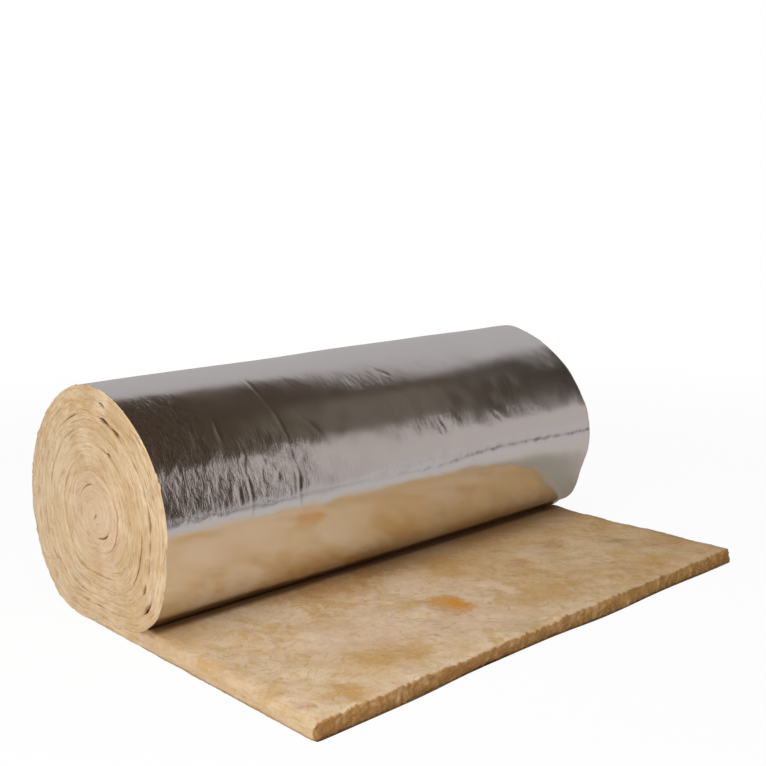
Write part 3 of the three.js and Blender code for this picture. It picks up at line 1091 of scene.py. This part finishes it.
# Painted reflection: over these angles the lower front of the foil is tinted darker and warmer,
# standing in for its reflection of the shaded wool and floor.
painted_reflection_share = strip.part("X").rise(*np.interp(PAINTED_REFLECTION_BETWEEN, angles, runs))
foil_colour = blend_colours(painted_reflection_share, POLISHED, PAINTED_REFLECTION_TINT)
relief = (0.3 + 1.9 * crinkled) * (ridged + 0.7 * faceted) + 0.08 * grain
foil_finish = {
    "Base Color": blend_colours(wear_and_shade, foil_colour, CREASE_SHADE_GREY),
    "Metallic": 1.0,
    "Roughness": 0.10 + 0.16 * smudges,
    "Normal": relief.bumps(0.35, 0.001),
}
feed(shader, foil_finish)
foil_facing.data.materials.append(material)

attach(foil_facing, "root")
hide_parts("wound_foil", "loose_end_foil")


# ---- The studio ----------------------------------------------------------------------------
# A pale floor that runs to the horizon, soft light from the left, and a white backdrop behind. The
# foil mirrors a duller floor and a room of dark and pale walls, which only reflections see.

FLOOR_SIZE = 60.0
FLOOR_DROP = 0.0005  # so that it stays just clear of the foil that lies on it
FLOOR_COLOUR = (0.85, 0.85, 0.85, 1)
WHITE = (1, 1, 1, 1)
MIRRORED_FLOOR = (1, 0.93, 0.86, 1)
MIRRORED_FLOOR_IN_FRONT = (1, 0.945, 0.965, 1)
MIRRORED_SHADOW = (1, 0.86, 0.68, 1)

floor_mesh = bmesh.new()
bmesh.ops.create_grid(floor_mesh, x_segments=1, y_segments=1, size=FLOOR_SIZE / 2)
mesh = bpy.data.meshes.new("floor")
floor_mesh.to_mesh(mesh)
floor_mesh.free()
floor = bpy.data.objects.new("floor", mesh)
floor.location.z = -FLOOR_DROP
bpy.context.scene.collection.objects.link(floor)


def emptied(owner):
    """A source for the nodes of a material or a world, once it is rid of those it came with."""
    owner.use_nodes = True
    owner.node_tree.nodes.clear()
    return Socket(owner.node_tree)


def ray_kinds(start):
    """Whether a ray comes from the camera, off a mirror-like surface, and through a clear one."""
    kinds = ("Is Camera Ray", "Is Glossy Ray", "Is Transmission Ray")
    return [start.node("ShaderNodeLightPath", {}, {}, kind) for kind in kinds]


material = bpy.data.materials.new("pale_floor")
start = emptied(material)
seen, glossy, through = ray_kinds(start)
spot = in_place(start)
to_right, to_back = (spot.part(axis) for axis in "XY")
far = spot.length().rise(1.2, 3.5)
lit_front = start.maths("MAXIMUM", to_back.rise(-1.8, -1.2), to_right.rise(0.6, 1.2))
shadow = to_right.rise(0.58, 0.66) * (1 - to_right.rise(0.70, 0.95)) * to_back.rise(-0.75, -0.45)
level = seen + (0.056 + 0.404 * lit_front) * (1 - 0.45 * shadow) * glossy + through
mirrored = coated(
    MIRRORED_FLOOR_IN_FRONT,
    (to_back.rise(-1.0, -0.70), MIRRORED_FLOOR),
    (0.8 * shadow, MIRRORED_SHADOW),
)
lit = start.node("ShaderNodeBsdfDiffuse", {}, {"Color": FLOOR_COLOUR})
glow_colour = blend_colours(glossy, WHITE, mirrored)
glow = start.node("ShaderNodeEmission", {}, {"Color": glow_colour, "Strength": level})
share = start.maths("MINIMUM", (0.94 + 0.06 * far) * (seen + through) + 0.90 * glossy, 1)
surface = start.node("ShaderNodeMixShader", {}, {0: share, 1: lit, 2: glow})
feed(material.node_tree.nodes.new("ShaderNodeOutputMaterial"), {"Surface": surface})
floor.data.materials.append(material)

BACK_WALL = (0.441, 0.4225, 0.432, 1)
FRONT_WALL = (0.451, 0.408, 0.399, 1)
DARK_ON_LEFT = (0.056, 0.037, 0.024, 1)
DARK_ON_RIGHT = (0.031, 0.023, 0.016, 1)
LIT_GAP = (0.150, 0.130, 0.105, 1)
SOFT_LIGHT = (0.35, 0.35, 0.35, 1)  # what falls on the wool from all round

world = bpy.data.worlds.new("studio")
bpy.context.scene.world = world
start = emptied(world)
seen, glossy, through = ray_kinds(start)
way = start.node("ShaderNodeTexCoord", {}, {}, "Generated")
right, back, up = (way.part(axis) for axis in "XYZ")
forwards = -1 * back

# The dark things in the room: its ceiling, a wedge low on the right and a strip straight in front.
sagging = right.rise(0.61, 0.68) * (1 - right.rise(0.69, 0.75))
ceiling = (up - 0.15 * back - 0.06 * sagging + 0.05 * right.rise(0.72, 0.77)).rise(0.625, 0.662)
corner = (up - 1.7 * right + 0.065 * right.rise(0.735, 0.765)).rise(-0.955, -0.895)
corner = corner * forwards.rise(0.0, 0.08) * (right + 1.19 * back).rise(-0.015, 0.035)
front = (1 - (right + 0.67 * back).rise(-0.04, 0.04)) * (right - 0.70 * back).rise(-0.05, 0.05)
dark = start.maths("MAXIMUM", start.maths("MAXIMUM", ceiling, corner), front)

gap = right.rise(0.575, 0.625) * (1 - right.rise(0.69, 0.73)) * forwards.rise(-0.05, 0.18)
darkness = coated(DARK_ON_LEFT, (right.rise(0.70, 0.75), DARK_ON_RIGHT), (gap, LIT_GAP))
walls = blend_colours(forwards.rise(0.1, 0.4), BACK_WALL, FRONT_WALL)
studio = blend_colours(dark, walls, darkness)
colour = coated(SOFT_LIGHT, (seen, WHITE), (through, WHITE), (glossy, studio))
background = start.node("ShaderNodeBackground", {}, {"Color": colour, "Strength": 1.0})
feed(world.node_tree.nodes.new("ShaderNodeOutputWorld"), {"Surface": background})

LIGHTS = {
    "side_light": (Vector((-2.4, -1.1, 1.2)), 1.4, 30),
    "top_light": (Vector((-0.9, -0.6, 2.6)), 1.2, 24),
    "front_light": (Vector((-0.9, -2.7, 0.8)), 1.2, 11),
}
LIGHT_TARGET = Vector((0, -0.1, 0.15))
for name, (place, size, power) in LIGHTS.items():
    lamp = bpy.data.lights.new(name, "AREA")
    lamp.shape = "SQUARE"
    lamp.size = size
    lamp.energy = power
    light = bpy.data.objects.new(name, lamp)
    light.location = place
    light.rotation_euler = (LIGHT_TARGET - place).to_track_quat("-Z", "Y").to_euler()
    light.visible_glossy = False
    light.visible_camera = False
    bpy.context.scene.collection.objects.link(light)

CAMERA_PLACE = Vector((-1.589, -1.910, 0.824))
CAMERA_HEADING = math.radians(42.366)
CAMERA_DIP = math.radians(9.567)
CAMERA_TILT = math.radians(-1.004)
SENSOR = 36.0
PICTURE_WIDTH = 766
FOCAL_PIXELS = 1116.4

view = bpy.data.cameras.new("camera")
view.sensor_width = SENSOR
view.lens = FOCAL_PIXELS * SENSOR / PICTURE_WIDTH
camera = bpy.data.objects.new("camera", view)
camera.matrix_world = (
    Matrix.Translation(CAMERA_PLACE)
    @ Matrix.Rotation(-CAMERA_HEADING, 4, "Z")
    @ Matrix.Rotation(math.pi / 2 - CAMERA_DIP, 4, "X")
    @ Matrix.Rotation(CAMERA_TILT, 4, "Z")
)
bpy.context.scene.collection.objects.link(camera)
bpy.context.scene.camera = camera
bpy.context.scene.view_settings.view_transform = "Standard"
